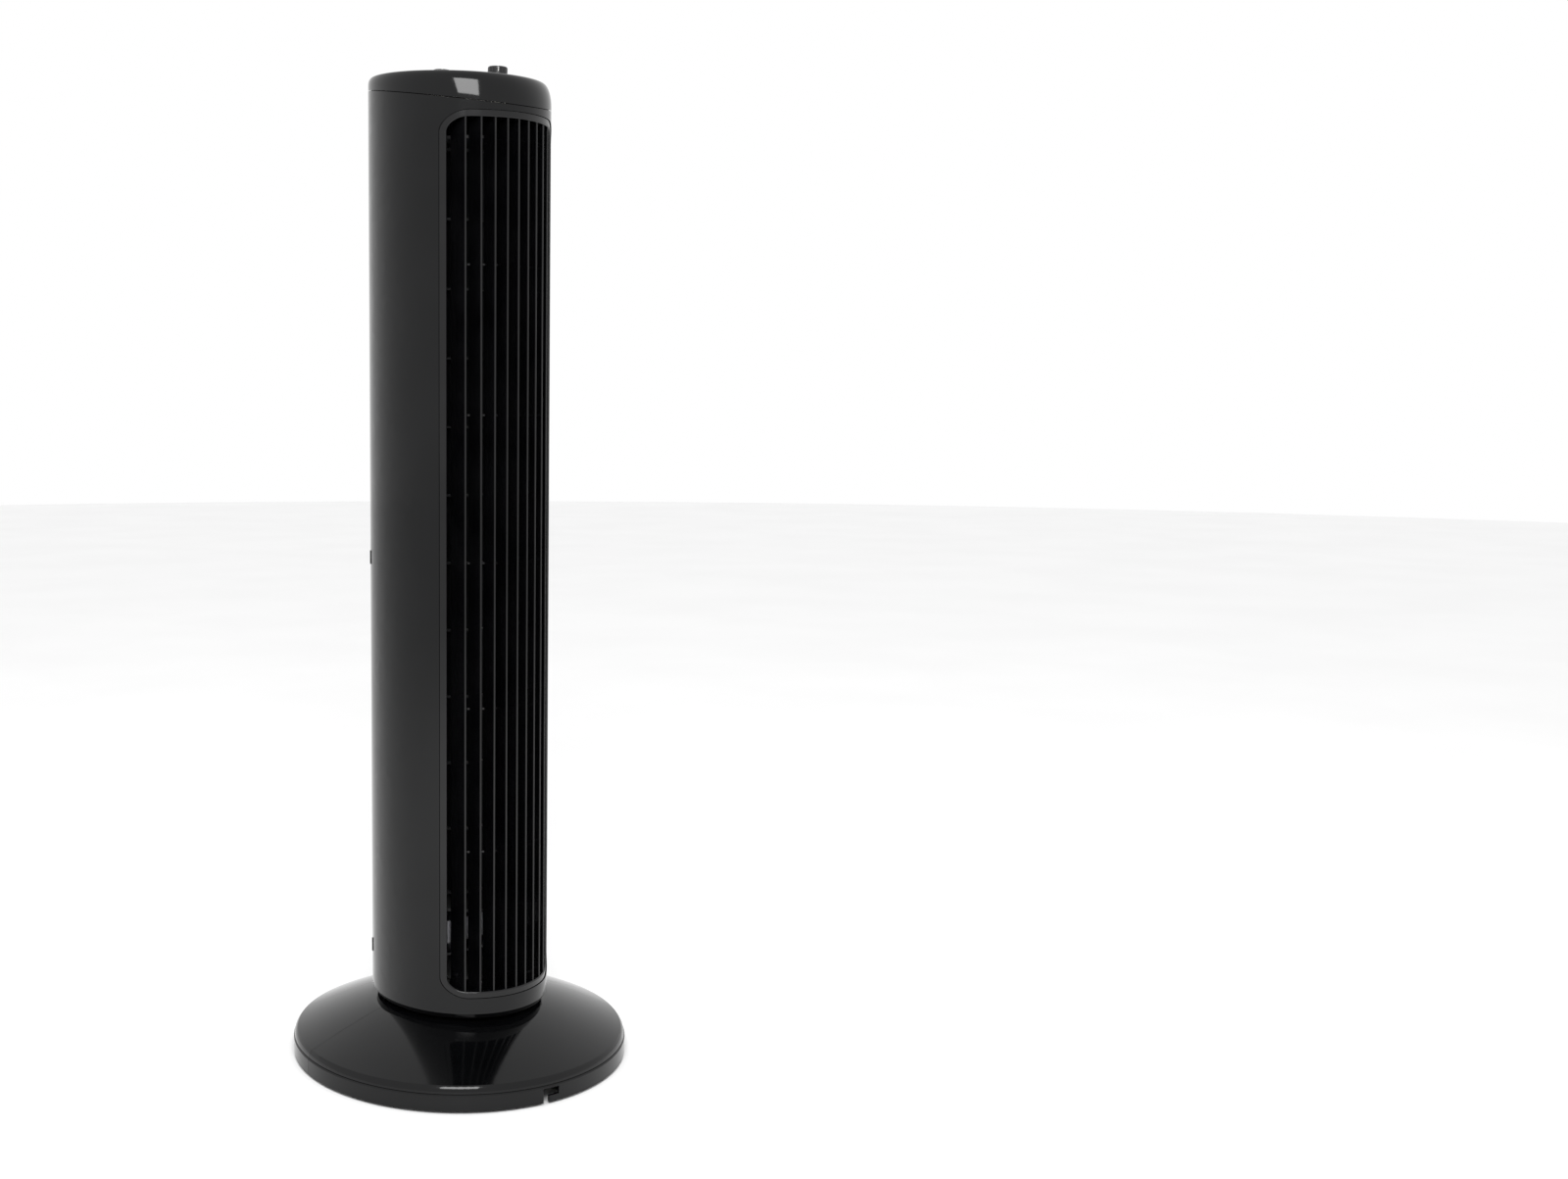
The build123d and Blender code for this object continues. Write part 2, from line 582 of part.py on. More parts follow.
# ---------------------------------------------------------------- controls
KNOB_RIBS = 18
SPINDLE_GRIP = 4.6  # how far a spindle reaches into its knob
SPINDLE_DEPTH = 18.0
KNOB_RIB_START = 1.4  # the ribs stop this far above the knob's lower edge
SWITCH_BORE = 11.5
SCREW_HEAD = 1.4  # head height of the small screws
knob_sizes = {
    "speed": (FRONT_KNOB_Y, SPEED_KNOB_HEIGHT),
    "timer": (REAR_KNOB_Y, TIMER_KNOB_HEIGHT),
}
for name, (knob_y, knob_height) in knob_sizes.items():
    plane = control_plane(knob_y)
    with BuildPart() as knob:
        with BuildSketch(plane.offset(KNOB_LIFT)):
            Circle(KNOB_RADIUS)
        extrude(amount=knob_height, taper=2)
        fillet(knob.faces().sort_by(Axis.Z)[-1].edges(), 1.6)
        with BuildSketch(plane.offset(KNOB_LIFT + KNOB_RIB_START)):
            with PolarLocations(KNOB_RADIUS + 0.15, KNOB_RIBS):
                Circle(0.75)
        extrude(amount=knob_height, mode=Mode.SUBTRACT)
        with BuildSketch(plane.offset(KNOB_LIFT)):
            Circle(SHAFT_RADIUS)
        extrude(amount=SPINDLE_GRIP, mode=Mode.SUBTRACT)
    finish(knob.part, f"{name}_knob")
    with BuildPart() as spindle:
        with BuildSketch(plane.offset(-SPINDLE_DEPTH)):
            Circle(SHAFT_RADIUS)
        extrude(amount=SPINDLE_DEPTH + KNOB_LIFT + SPINDLE_GRIP)
    finish(spindle.part, f"{name}_spindle")

switch_sizes = {"speed_switch": (FRONT_KNOB_Y, 26.0, 14.0), "timer": (REAR_KNOB_Y, 34.0, 15.0)}
for name, (knob_y, width, depth) in switch_sizes.items():
    plane = control_plane(knob_y)
    with BuildPart() as switch_body:
        with BuildSketch(plane.offset(-CONTROL_DROP)):
            RectangleRounded(width, 22.0, 2.0)
        extrude(amount=-depth)
        with BuildSketch(plane.offset(-CONTROL_DROP)):
            Circle(SHAFT_RADIUS + RUNNING_GAP)
        extrude(amount=-SWITCH_BORE, mode=Mode.SUBTRACT)
        with BuildSketch(plane.offset(-CONTROL_DROP)):
            with Locations((-CONTROL_SCREW_X, 0), (CONTROL_SCREW_X, 0)):
                Circle(SMALL_PILOT)
        extrude(amount=-depth, mode=Mode.SUBTRACT)
        # solder tags underneath
        with BuildSketch(plane.offset(-CONTROL_DROP - depth)):
            with GridLocations(5.0, 9.0, 3, 2):
                Rectangle(2.4, 0.8)
        extrude(amount=-5.0)
    finish(switch_body.part, f"{name}_body")

control_screw = screw(2.0, SCREW_HEAD, 1.05, 18.0)
with BuildPart() as control_screws:
    for knob_y, _, depth in switch_sizes.values():
        below = control_plane(knob_y).offset(-CONTROL_DROP - depth - SCREW_HEAD)
        for screw_side in (-CONTROL_SCREW_X, CONTROL_SCREW_X):
            with Locations(below.location * Location((screw_side, 0, 0), (180, 0, 0))):
                add(control_screw)
finish(control_screws.part, "control_screws")

BUTTON_SUNK = 8.0  # below the crown
BUTTON_PROUD = 3.5
STEM_DEPTH = 14.0
STEM_WIDTH = 3.0
PUSH_SWITCH_DROP = 12.0
button_plane = control_plane(BUTTON_Y)
with BuildPart() as swing_button:
    with BuildSketch(button_plane.offset(-BUTTON_SUNK)):
        Circle(5.0)
    extrude(amount=BUTTON_SUNK + BUTTON_PROUD)
    fillet(swing_button.faces().sort_by(Axis.Z)[-1].edges(), 1.2)
    with BuildSketch(button_plane.offset(-STEM_DEPTH)):
        Rectangle(STEM_WIDTH, STEM_WIDTH)
    extrude(amount=STEM_DEPTH - BUTTON_SUNK)
finish(swing_button.part, "oscillation_button")

with BuildPart() as swing_switch:
    with BuildSketch(button_plane.offset(-PUSH_SWITCH_DROP)):
        RectangleRounded(14.0, 11.0, 1.0)
    extrude(amount=-13.0)
    with BuildSketch(button_plane.offset(-PUSH_SWITCH_DROP)):
        Rectangle(STEM_WIDTH + 0.4, STEM_WIDTH + 0.4)
    extrude(amount=-6.0, mode=Mode.SUBTRACT)
finish(swing_switch.part, "oscillation_switch_body")

# ---------------------------------------------------------------- swivel and crank
PLATE_THICKNESS = 3.0
PLATE_TOP = TOWER_BOTTOM + PLATE_THICKNESS
MOTOR_CAN_RADIUS = 25.0
MOTOR_CAN_Z = 63.0
MOTOR_CAN_HEIGHT = 15.0
EAR_SPAN = 58.0
EAR_THICKNESS = 1.2
POST_HEIGHT = 26.5
POST_RADIUS = 4.0
crank_x = 0.0
crank_y = -CRANK_OFFSET
crank_turn = CRANK_RATIO * -REST_SWING  # crank arm's direction at rest
PLATE_SCREWS = [(-50.0, -46.0), (50.0, -46.0), (-50.0, 46.0), (50.0, 46.0)]
ear_points = [(crank_x - EAR_SPAN / 2, crank_y), (crank_x + EAR_SPAN / 2, crank_y)]

with BuildPart() as swivel_plate:
    with BuildSketch(Plane.XY.offset(TOWER_BOTTOM)):
        Ellipse(TOWER_X - 4.1, TOWER_Y - 4.1)
        Circle(HUB_RADIUS + 0.3, mode=Mode.SUBTRACT)
        with Locations((crank_x, crank_y)):
            Circle(4.0, mode=Mode.SUBTRACT)
    extrude(amount=PLATE_THICKNESS)
    # stand-offs for the swing motor and posts for the fan motor's floor
    with BuildSketch(Plane.XY.offset(PLATE_TOP)):
        with Locations(*ear_points):
            Circle(3.5)
    extrude(amount=MOTOR_CAN_Z - PLATE_TOP)
    with BuildSketch(Plane.XY.offset(PLATE_TOP)):
        with Locations(*PLATE_SCREWS):
            Circle(POST_RADIUS)
    extrude(amount=POST_HEIGHT)
    with BuildSketch(Plane.XY.offset(TOWER_BOTTOM)):
        with Locations(*ear_points):
            Circle(SMALL_PILOT)
    extrude(amount=20.0, mode=Mode.SUBTRACT)
    with BuildSketch(Plane.XY.offset(PLATE_TOP + 12.0)):
        with Locations(*PLATE_SCREWS):
            Circle(PILOT_RADIUS)
    extrude(amount=20.0, mode=Mode.SUBTRACT)
finish(swivel_plate.part, "swivel_plate")

with BuildPart() as swing_motor:
    with BuildSketch(Plane.XY.offset(MOTOR_CAN_Z)):
        with Locations((crank_x, crank_y)):
            Circle(MOTOR_CAN_RADIUS)
    extrude(amount=MOTOR_CAN_HEIGHT)
    fillet(swing_motor.edges().group_by(Axis.Z)[-1], 2.0)
    with BuildSketch(Plane.XY.offset(MOTOR_CAN_Z)):
        with Locations((crank_x, crank_y)):
            SlotOverall(EAR_SPAN + 8.0, 8.0)
    extrude(amount=EAR_THICKNESS)
    with BuildSketch(Plane.XY.offset(MOTOR_CAN_Z)):
        with Locations(*ear_points):
            Circle(SMALL_PILOT)
    extrude(amount=EAR_THICKNESS, mode=Mode.SUBTRACT)
    with BuildSketch(Plane.XY.offset(MOTOR_CAN_Z)):
        with Locations((crank_x, crank_y)):
            Circle(SHAFT_RADIUS + RUNNING_GAP)
    extrude(amount=10.0, mode=Mode.SUBTRACT)
finish(swing_motor.part, "oscillation_motor")

ear_screw = screw(2.2, SCREW_HEAD, 1.05, 7.0)
with BuildPart() as ear_screws:
    with Locations(*[(x, y, MOTOR_CAN_Z + EAR_THICKNESS + SCREW_HEAD) for x, y in ear_points]):
        add(ear_screw)
finish(ear_screws.part, "oscillation_motor_screws")

CRANK_BOTTOM = PEDESTAL_TOP + 0.6
ARM_THICKNESS = 3.4
ARM_WIDTH = 9.0
PIN_DROP = 3.6  # how far the pin hangs into the slot
with BuildPart() as crank_arm:
    with BuildSketch(Plane.XY.offset(CRANK_BOTTOM)):
        with Locations((0, -CRANK_THROW / 2)):
            SlotOverall(CRANK_THROW + ARM_WIDTH, ARM_WIDTH, rotation=90)
        with Locations((0, -CRANK_THROW)):
            Circle(PIN_RADIUS - 0.5, mode=Mode.SUBTRACT)
    extrude(amount=ARM_THICKNESS)
    with BuildSketch(Plane.XY.offset(CRANK_BOTTOM + ARM_THICKNESS)):
        Circle(SHAFT_RADIUS)
    extrude(amount=MOTOR_CAN_Z + 8.0 - CRANK_BOTTOM - ARM_THICKNESS)
with BuildPart() as crank_pin:
    with BuildSketch(Plane.XY.offset(CRANK_BOTTOM - PIN_DROP)):
        with Locations((0, -CRANK_THROW)):
            Circle(PIN_RADIUS)
    extrude(amount=PIN_DROP)
    with BuildSketch(Plane.XY.offset(CRANK_BOTTOM)):
        with Locations((0, -CRANK_THROW)):
            Circle(PIN_RADIUS - 0.5)
    extrude(amount=ARM_THICKNESS)
for piece, name in ((crank_arm.part, "crank_arm"), (crank_pin.part, "crank_pin")):
    placed = Pos(crank_x, crank_y, 0) * Rot(0, 0, crank_turn) * piece
    finish(placed, name)

# ---------------------------------------------------------------- fan motor
MOTOR_FLOOR_Z = PLATE_TOP + POST_HEIGHT
FLOOR_THICKNESS = 2.5
BRACKET_THICKNESS = 2.0
BUSH_RADIUS = 6.0
BUSH_HEIGHT = 5.0
UPPER_BRACKET_LIFT = 7.0
LAMINATION_Z = MOTOR_FLOOR_Z + 21.0
LAMINATION_HEIGHT = 20.0
ROTOR_RADIUS = 15.0
motor_plane = Plane(origin=(0, DRUM_Y, LAMINATION_Z))
BRACKET_SCREW_X = 21.0
LOWER_BULKHEAD_Z = DRUM_BOTTOM - 8.0
UPPER_BULKHEAD_Z = DRUM_BOTTOM + DRUM_STAGE * DRUM_STAGES + 4.0
BULKHEAD_THICKNESS = 2.5

# Outline of the inner floors: clear of the shell's lugs and of the grille's blades
FLOOR_INSET = WALL + 6.3
with BuildSketch() as blade_relief:
    with Locations((0, -TOWER_Y)):
        Rectangle(GRILLE_WIDTH + 2.0, 2 * TOWER_Y - 30.0)
    Ellipse(TOWER_X - BLADE_DEPTH - 2.0, TOWER_Y - BLADE_DEPTH - 2.0, mode=Mode.SUBTRACT)
with BuildSketch() as floor_outline:
    Ellipse(TOWER_X - FLOOR_INSET, TOWER_Y - FLOOR_INSET)
    add(blade_relief.sketch, mode=Mode.SUBTRACT)

with BuildPart() as motor_floor:
    with BuildSketch(Plane.XY.offset(MOTOR_FLOOR_Z)):
        add(floor_outline.sketch)
        with Locations((0, DRUM_Y)):
            Circle(12.0, mode=Mode.SUBTRACT)
        with Locations(*PLATE_SCREWS):
            Circle(1.4, mode=Mode.SUBTRACT)
        with Locations((0, 62.0)):
            Circle(7.0, mode=Mode.SUBTRACT)
    extrude(amount=FLOOR_THICKNESS)
finish(motor_floor.part, "motor_floor")

with BuildPart() as floor_screws:
    with Locations(*[(x, y, MOTOR_FLOOR_Z + FLOOR_THICKNESS + 1.6) for x, y in PLATE_SCREWS]):
        add(screw(2.6, 1.6, 1.25, 12.0))
finish(floor_screws.part, "motor_floor_screws")

MOUNT_SPREAD = (52.0, 36.0)
with BuildPart() as rubber_mounts:
    with BuildSketch(Plane(origin=(0, DRUM_Y, MOTOR_FLOOR_Z + FLOOR_THICKNESS))):
        with GridLocations(*MOUNT_SPREAD, 2, 2):
            Circle(5.0)
    extrude(amount=6.0)
finish(rubber_mounts.part, "motor_rubber_mounts")

BRACKET_Z = MOTOR_FLOOR_Z + 8.5
with BuildPart() as lower_bracket:
    with BuildSketch(Plane.XY.offset(BRACKET_Z)):
        with Locations((0, DRUM_Y)):
            RectangleRounded(64.0, 46.0, 5.0)
    extrude(amount=BRACKET_THICKNESS)
    with BuildSketch(Plane.XY.offset(BRACKET_Z + BRACKET_THICKNESS)):
        with Locations((0, DRUM_Y)):
            Circle(9.0)
    extrude(amount=BUSH_HEIGHT)
    with BuildSketch(Plane.XY.offset(BRACKET_Z + BRACKET_THICKNESS)):
        with Locations((-BRACKET_SCREW_X, DRUM_Y), (BRACKET_SCREW_X, DRUM_Y)):
            Circle(4.0)
    extrude(amount=LAMINATION_Z - BRACKET_Z - BRACKET_THICKNESS)
    with BuildSketch(Plane.XY.offset(BRACKET_Z)):
        with Locations((0, DRUM_Y)):
            Circle(BUSH_RADIUS)
        with Locations((-BRACKET_SCREW_X, DRUM_Y), (BRACKET_SCREW_X, DRUM_Y)):
            Circle(SCREW_HOLE)
    extrude(amount=20.0, mode=Mode.SUBTRACT)
finish(lower_bracket.part, "motor_lower_bracket")

lamination_top = LAMINATION_Z + LAMINATION_HEIGHT
with BuildPart() as upper_bracket:
    with BuildSketch(Plane.XY.offset(lamination_top + UPPER_BRACKET_LIFT)):
        with Locations((0, DRUM_Y)):
            RectangleRounded(54.0, 22.0, 5.0)
    extrude(amount=BUSH_HEIGHT)
    with BuildSketch(Plane.XY.offset(lamination_top)):
        with Locations((-BRACKET_SCREW_X, DRUM_Y), (BRACKET_SCREW_X, DRUM_Y)):
            Circle(4.0)
    extrude(amount=UPPER_BRACKET_LIFT)
    with BuildSketch(Plane.XY.offset(lamination_top)):
        with Locations((0, DRUM_Y)):
            Circle(BUSH_RADIUS)
        with Locations((-BRACKET_SCREW_X, DRUM_Y), (BRACKET_SCREW_X, DRUM_Y)):
            Circle(SCREW_HOLE)
    extrude(amount=UPPER_BRACKET_LIFT + BUSH_HEIGHT, mode=Mode.SUBTRACT)
finish(upper_bracket.part, "motor_upper_bracket")

# Shaded-pole stator: round-bored laminations with a window for the coil at the back
with BuildPart() as motor_stator:
    with BuildSketch(motor_plane):
        with Locations((0, 9.0)):
            RectangleRounded(56.0, 70.0, 4.0)
        Circle(ROTOR_RADIUS + 0.4, mode=Mode.SUBTRACT)
        with Locations((0, 29.0)):
            Rectangle(36.0, 16.0, mode=Mode.SUBTRACT)
        with Locations((-BRACKET_SCREW_X, 0), (BRACKET_SCREW_X, 0)):
            Circle(SCREW_HOLE, mode=Mode.SUBTRACT)
    extrude(amount=LAMINATION_HEIGHT)
finish(motor_stator.part, "motor_stator")

with BuildPart() as motor_coil:
    with BuildSketch(motor_plane.offset(-6.0)):
        with Locations((0, 36.0)):
            RectangleRounded(33.0, 29.0, 3.0)
    extrude(amount=LAMINATION_HEIGHT + 12.0)
    fillet(motor_coil.edges().filter_by(Axis.Z, reverse=True), 2.0)
    with BuildSketch(motor_plane.offset(-0.2)):
        with Locations((0, 40.5)):
            Rectangle(57.0, 7.4)
        with Locations((0, 24.0)):
            Rectangle(57.0, 6.0)
    extrude(amount=LAMINATION_HEIGHT + 0.4, mode=Mode.SUBTRACT)
finish(motor_coil.part, "motor_coil")

with BuildPart() as motor_bushes:
    for bush_z in (BRACKET_Z, lamination_top + UPPER_BRACKET_LIFT):
        with BuildSketch(Plane.XY.offset(bush_z)):
            with Locations((0, DRUM_Y)):
                Circle(BUSH_RADIUS)
                Circle(SHAFT_RADIUS + RUNNING_GAP, mode=Mode.SUBTRACT)
        extrude(amount=BUSH_HEIGHT)
finish(motor_bushes.part, "motor_bushes")

bracket_screw = screw(3.0, 2.0, 1.5, 42.0)
with BuildPart() as bracket_screws:
    for screw_x_side in (-BRACKET_SCREW_X, BRACKET_SCREW_X):
        with Locations((screw_x_side, DRUM_Y, lamination_top + 14.0)):
            add(bracket_screw)
finish(bracket_screws.part, "motor_screws")

# ---------------------------------------------------------------- drum and its drive
shaft_low = BRACKET_Z - 3.0
with BuildPart() as motor_shaft:
    with BuildSketch(Plane.XY.offset(shaft_low)):
        with Locations((0, DRUM_Y)):
            Circle(SHAFT_RADIUS)
    extrude(amount=DRUM_BOTTOM + 6.0 - shaft_low)
finish(motor_shaft.part, "motor_shaft")

with BuildPart() as motor_rotor:
    with BuildSketch(motor_plane.offset(-1.0)):
        Circle(ROTOR_RADIUS)
        Circle(SHAFT_RADIUS, mode=Mode.SUBTRACT)
    extrude(amount=LAMINATION_HEIGHT + 2.0)
finish(motor_rotor.part, "motor_rotor")

drum_top = DRUM_BOTTOM + DRUM_STAGE * DRUM_STAGES
BLADE_INNER = 34.5
DRUM_END = 2.0  # thickness of the end discs
DISC_THICKNESS = 1.6
with BuildPart() as impeller_drum:
    with BuildSketch(Plane(origin=(0, DRUM_Y, DRUM_BOTTOM))):
        with PolarLocations((DRUM_RADIUS + BLADE_INNER) / 2 - 0.4, DRUM_BLADES):
            Rectangle(DRUM_RADIUS - BLADE_INNER, 1.3, rotation=38)
    extrude(amount=DRUM_STAGE * DRUM_STAGES)
    for stage in range(1, DRUM_STAGES):
        with BuildSketch(Plane(origin=(0, DRUM_Y, DRUM_BOTTOM + stage * DRUM_STAGE))):
            Circle(DRUM_RADIUS)
            Circle(BLADE_INNER - 3.0, mode=Mode.SUBTRACT)
        extrude(amount=DISC_THICKNESS / 2, both=True)
    for end_z, bore in ((DRUM_BOTTOM, 8.0), (drum_top - DRUM_END, SHAFT_RADIUS)):
        with BuildSketch(Plane(origin=(0, DRUM_Y, end_z))):
            Circle(DRUM_RADIUS)
            Circle(bore, mode=Mode.SUBTRACT)
        extrude(amount=DRUM_END)
finish(impeller_drum.part, "impeller_drum")

# Rubber-cushioned hub that grips the motor shaft at the drum's lower end
with BuildPart() as drive_hub:
    with BuildSketch(Plane(origin=(0, DRUM_Y, DRUM_BOTTOM - 1.5))):
        Circle(8.0)
        Circle(SHAFT_RADIUS, mode=Mode.SUBTRACT)
    extrude(amount=10.0)
    with BuildSketch(Plane(origin=(0, DRUM_Y, DRUM_BOTTOM + 2.0))):
        Circle(14.0)
        Circle(SHAFT_RADIUS, mode=Mode.SUBTRACT)
    extrude(amount=2.0)
finish(drive_hub.part, "drum_drive_hub")

with BuildPart() as top_shaft:
    with BuildSketch(Plane(origin=(0, DRUM_Y, drum_top - 14.0))):
        Circle(SHAFT_RADIUS)
    extrude(amount=30.0)
finish(top_shaft.part, "drum_top_shaft")

# ---------------------------------------------------------------- bulkheads and duct
HARNESS_Y = 70.0
HARNESS_HOLE = 4.5
DUCT_WALL = 2.0

with BuildPart() as lower_bulkhead:
    with BuildSketch(Plane.XY.offset(LOWER_BULKHEAD_Z)):
        add(floor_outline.sketch)
        with Locations((0, DRUM_Y)):
            Circle(14.0, mode=Mode.SUBTRACT)
        with Locations((0, HARNESS_Y)):
            Circle(HARNESS_HOLE, mode=Mode.SUBTRACT)
    extrude(amount=BULKHEAD_THICKNESS)
finish(lower_bulkhead.part, "lower_bulkhead")

with BuildPart() as upper_bulkhead:
    with BuildSketch(Plane.XY.offset(UPPER_BULKHEAD_Z)):
        add(floor_outline.sketch)
        with Locations((0, DRUM_Y)):
            Circle(12.0, mode=Mode.SUBTRACT)
        with Locations((0, HARNESS_Y)):
            Circle(HARNESS_HOLE, mode=Mode.SUBTRACT)
    extrude(amount=BULKHEAD_THICKNESS)
finish(upper_bulkhead.part, "upper_bulkhead")

duct_low = LOWER_BULKHEAD_Z + BULKHEAD_THICKNESS
duct_height = UPPER_BULKHEAD_Z - duct_low
with BuildPart() as scroll_wall:
    with BuildSketch(Plane.XY.offset(duct_low)):
        with BuildLine():
            Spline((40.0, 46.0), (52.0, 28.0), (57.0, 4.0), (54.0, -22.0), (52.5, -44.0))
        trace(line_width=DUCT_WALL)
    extrude(amount=duct_height)
finish(scroll_wall.part, "scroll_wall")

with BuildPart() as cutoff_tongue:
    with BuildSketch(Plane.XY.offset(duct_low)):
        with BuildLine():
            Spline((-52.5, -44.0), (-45.0, -34.0), (-44.5, -24.0), (-52.0, -17.0), (-60.0, -14.0))
        trace(line_width=DUCT_WALL)
    extrude(amount=duct_height)
finish(cutoff_tongue.part, "cutoff_tongue")

# ---------------------------------------------------------------- top bearing
TOP_BUSH_RADIUS = 6.5
HOLDER_FLANGE = 2.5

bearing_z = UPPER_BULKHEAD_Z + BULKHEAD_THICKNESS
with BuildPart() as bearing_holder:
    with BuildSketch(Plane(origin=(0, DRUM_Y, bearing_z))):
        Circle(17.0)
        Circle(TOP_BUSH_RADIUS, mode=Mode.SUBTRACT)
    extrude(amount=HOLDER_FLANGE)
    with BuildSketch(Plane(origin=(0, DRUM_Y, bearing_z - BULKHEAD_THICKNESS))):
        Circle(11.8)
        Circle(TOP_BUSH_RADIUS, mode=Mode.SUBTRACT)
    extrude(amount=BULKHEAD_THICKNESS)
finish(bearing_holder.part, "top_bearing_rubber")

with BuildPart() as bearing_bush:
    with BuildSketch(Plane(origin=(0, DRUM_Y, bearing_z - BULKHEAD_THICKNESS))):
        Circle(TOP_BUSH_RADIUS)
        Circle(SHAFT_RADIUS + RUNNING_GAP, mode=Mode.SUBTRACT)
    extrude(amount=BULKHEAD_THICKNESS + HOLDER_FLANGE)
finish(bearing_bush.part, "top_bearing_bush")

# ---------------------------------------------------------------- wiring
HARNESS_RADIUS = 2.6
HARNESS_START = MOTOR_FLOOR_Z + 12.0
HARNESS_END = UPPER_BULKHEAD_Z + 16.0
with BuildPart() as wiring_harness:
    with BuildSketch(Plane(origin=(0, HARNESS_Y, HARNESS_START))):
        Circle(HARNESS_RADIUS)
    extrude(amount=HARNESS_END - HARNESS_START)
finish(wiring_harness.part, "wiring_harness")

with BuildPart() as terminal_block:
    with BuildSketch(Plane.XY.offset(MOTOR_FLOOR_Z + FLOOR_THICKNESS)):
        with Locations((0, HARNESS_Y - 1.0)):
            Rectangle(34.0, 11.0)
    extrude(amount=9.5)
finish(terminal_block.part, "terminal_block")
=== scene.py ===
import json
from math import cos, pi, radians, sin, sqrt, tan

import bmesh
import bpy
from mathutils import Matrix, Vector


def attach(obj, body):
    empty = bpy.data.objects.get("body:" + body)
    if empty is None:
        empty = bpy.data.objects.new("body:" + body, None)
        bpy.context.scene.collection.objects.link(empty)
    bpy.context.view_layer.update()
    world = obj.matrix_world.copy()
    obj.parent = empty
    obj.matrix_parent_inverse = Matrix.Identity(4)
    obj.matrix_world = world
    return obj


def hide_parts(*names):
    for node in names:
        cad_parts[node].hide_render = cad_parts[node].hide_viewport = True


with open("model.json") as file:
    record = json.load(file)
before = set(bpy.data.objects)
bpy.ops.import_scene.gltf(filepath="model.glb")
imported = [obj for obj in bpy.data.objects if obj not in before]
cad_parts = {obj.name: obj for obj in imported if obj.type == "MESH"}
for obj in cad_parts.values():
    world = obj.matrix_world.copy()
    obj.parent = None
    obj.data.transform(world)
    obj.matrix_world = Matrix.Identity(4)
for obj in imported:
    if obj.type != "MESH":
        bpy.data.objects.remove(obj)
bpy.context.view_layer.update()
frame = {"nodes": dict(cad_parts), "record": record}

# Tower fan. The CAD nodes keep their shape and place and are given finishes. The cap,
# the printed scales and the knobs' pointers are meshes made here. The studio is in
# metres; the cap and the prints are worked out in millimetres and scaled by MM.
MM = 0.001


def link_mesh(name, mesh):
    """Turns a finished bmesh into an object in the scene."""
    data = bpy.data.meshes.new(name)
    mesh.to_mesh(data)
    mesh.free()
    piece = bpy.data.objects.new(name, data)
    bpy.context.scene.collection.objects.link(piece)
    return piece


# ------------------------------------------------------------------ studio
VIEW_AZIMUTH = 37.0  # degrees from the grille's direction round to the camera
CAMERA_DISTANCE = 1.45
CAMERA_HEIGHT = 0.576
CAMERA_PITCH = 5.67  # degrees below the horizontal
LENS = 37.73
SENSOR_WIDTH = 36.0
SHIFT_X = 0.2071
SHIFT_Y = -0.0103
SOFTBOX_AWAY = -1.66  # on the camera's side of the fan
SOFTBOX_HEIGHT = 1.77
SOFTBOX_WIDTH = 0.88
SOFTBOX_LENGTH = 1.12
SOFTBOX_RADIANCE = 12.0
SOFTBOX_TARGET = Vector((0.0, 0.0, 0.85))
FLOOR_RADIUS = 9.0
FLOOR_SIDES = 96


def studio_point(across, away, height):
    """A point given across the view, away from the camera past the fan, and up."""
    turn = radians(VIEW_AZIMUTH)
    x = across * cos(turn) + away * sin(turn)
    y = -across * sin(turn) + away * cos(turn)
    return Vector((x, y, height))


def make_camera():
    """The photograph's view, everything in focus."""
    data = bpy.data.cameras.new("camera")
    data.sensor_width = SENSOR_WIDTH
    data.lens = LENS
    data.shift_x = SHIFT_X
    data.shift_y = SHIFT_Y
    data.dof.use_dof = False
    camera = bpy.data.objects.new("camera", data)
    camera.location = studio_point(0.0, -CAMERA_DISTANCE, CAMERA_HEIGHT)
    camera.rotation_euler = (radians(90.0 - CAMERA_PITCH), 0.0, -radians(VIEW_AZIMUTH))
    bpy.context.scene.collection.objects.link(camera)
    bpy.context.scene.camera = camera


def make_softbox(name, centre, target, width, height, radiance):
    """A rectangular light that faces its target."""
    data = bpy.data.lights.new(name, "AREA")
    data.shape = "RECTANGLE"
    data.size = width
    data.size_y = height
    data.energy = radiance * pi * width * height
    light = bpy.data.objects.new(name, data)
    light.location = centre
    light.rotation_euler = (target - centre).to_track_quat("-Z", "Y").to_euler()
    bpy.context.scene.collection.objects.link(light)


def make_world():
    """Even white surroundings."""
    world = bpy.data.worlds.new("studio")
    world.use_nodes = True
    background = world.node_tree.nodes["Background"]
    background.inputs["Color"].default_value = (1.0, 1.0, 1.0, 1.0)
    background.inputs["Strength"].default_value = 1.0
    bpy.context.scene.world = world


# ------------------------------------------------------------------ materials
GLOSS_IOR = 1.36  # lower than the plastic's own, to give the shine seen in this light
GRILLE_IOR = 1.42
CONTROL_IOR = 1.46
PLAIN_IOR = 1.45


